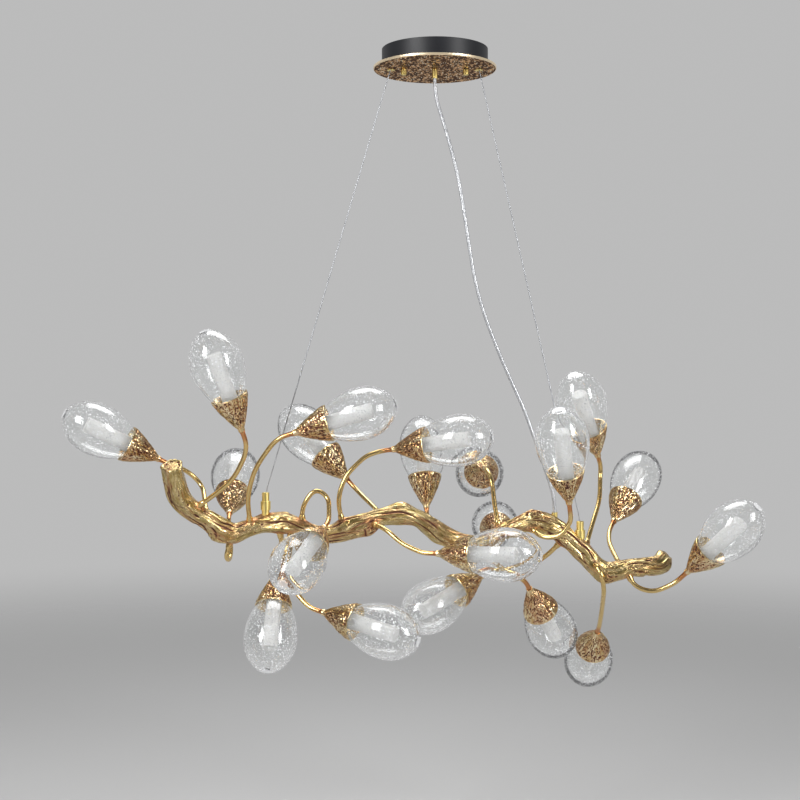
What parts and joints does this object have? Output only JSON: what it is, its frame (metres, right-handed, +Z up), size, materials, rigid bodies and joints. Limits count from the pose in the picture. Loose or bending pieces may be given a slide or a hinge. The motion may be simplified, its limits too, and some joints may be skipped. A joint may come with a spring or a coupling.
{
  "type": "branch chandelier",
  "caption": "Hanging chandelier: a cast branch with curved tube stems, bark-textured cups and clear glass globes, held by two wires from a round canopy.",
  "frame": {"origin": "centre of the canopy on the ceiling plane, midway between the two ceiling screws", "axes": "+Z up to the ceiling, +X along the branch to its lower end, +Y away from the picture's view"},
  "size_m": [1.1555, 0.549, 1.1293],
  "materials": {
    "drum": "satin",
    "gold_plate": "hammered",
    "steel": "zinc plated",
    "brass": "satin",
    "stem_brass": "satin",
    "cast_gold": "patinated",
    "driver": "satin",
    "terminal": "matte",
    "wire": "stranded",
    "cord": "clear",
    "glass": "clear",
    "frosted": "frosted",
    "lamp": "matte"
  },
  "bodies": {
    "canopy": {"canopy_drum": "drum", "canopy_plate": "gold_plate", "mounting_bar": "steel", "bar_studs": "steel", "stud_nuts": "brass", "wire_bushes": "brass", "cord_gland": "brass", "led_driver": "driver", "terminal_block": "terminal"},
    "hanging_branch": {"branch": "cast_gold", "gripper_bodies": "brass", "cord_bush": "brass", "wire_left": "wire", "wire_right": "wire", "power_cord": "cord", "glass_globes": "glass", "led_tubes": "frosted", "led_lamps": "lamp", "stem_01": "stem_brass", "stem_02": "stem_brass", "stem_03": "stem_brass", "stem_04": "stem_brass", "stem_05": "stem_brass", "stem_06": "stem_brass", "stem_07": "stem_brass", "stem_08": "stem_brass", "stem_09": "stem_brass", "stem_10": "stem_brass", "stem_11": "stem_brass", "stem_12": "stem_brass", "stem_13": "stem_brass", "stem_14": "stem_brass", "stem_15": "stem_brass", "stem_16": "stem_brass", "stem_17": "stem_brass", "stem_18": "stem_brass", "stem_19": "stem_brass", "stem_20": "stem_brass", "cup_01": "cast_gold", "cup_02": "cast_gold", "cup_03": "cast_gold", "cup_04": "cast_gold", "cup_05": "cast_gold", "cup_06": "cast_gold", "cup_07": "cast_gold", "cup_08": "cast_gold", "cup_09": "cast_gold", "cup_10": "cast_gold", "cup_11": "cast_gold", "cup_12": "cast_gold", "cup_13": "cast_gold", "cup_14": "cast_gold", "cup_15": "cast_gold", "cup_16": "cast_gold", "cup_17": "cast_gold", "cup_18": "cast_gold", "cup_19": "cast_gold", "cup_20": "cast_gold"},
    "left_sleeve": {"gripper_sleeve_left": "brass"},
    "right_sleeve": {"gripper_sleeve_right": "brass"}
  },
  "joints": [
    {"name": "branch_swing", "type": "hinge", "parent": "canopy", "child": "hanging_branch", "pos_m": [0, 0, -0.031], "axis": [1, 0, 0], "range_deg": [-12, 12], "deforming": ["power_cord"]},
    {"name": "left_release", "type": "slide", "parent": "hanging_branch", "child": "left_sleeve", "axis": [0, 0, 1], "range_m": [-0.0025, 0], "stiffness_N_per_m": 800, "springref_m": 0.001},
    {"name": "right_release", "type": "slide", "parent": "hanging_branch", "child": "right_sleeve", "axis": [0, 0, 1], "range_m": [-0.0025, 0], "stiffness_N_per_m": 800, "springref_m": 0.001}
  ]
}
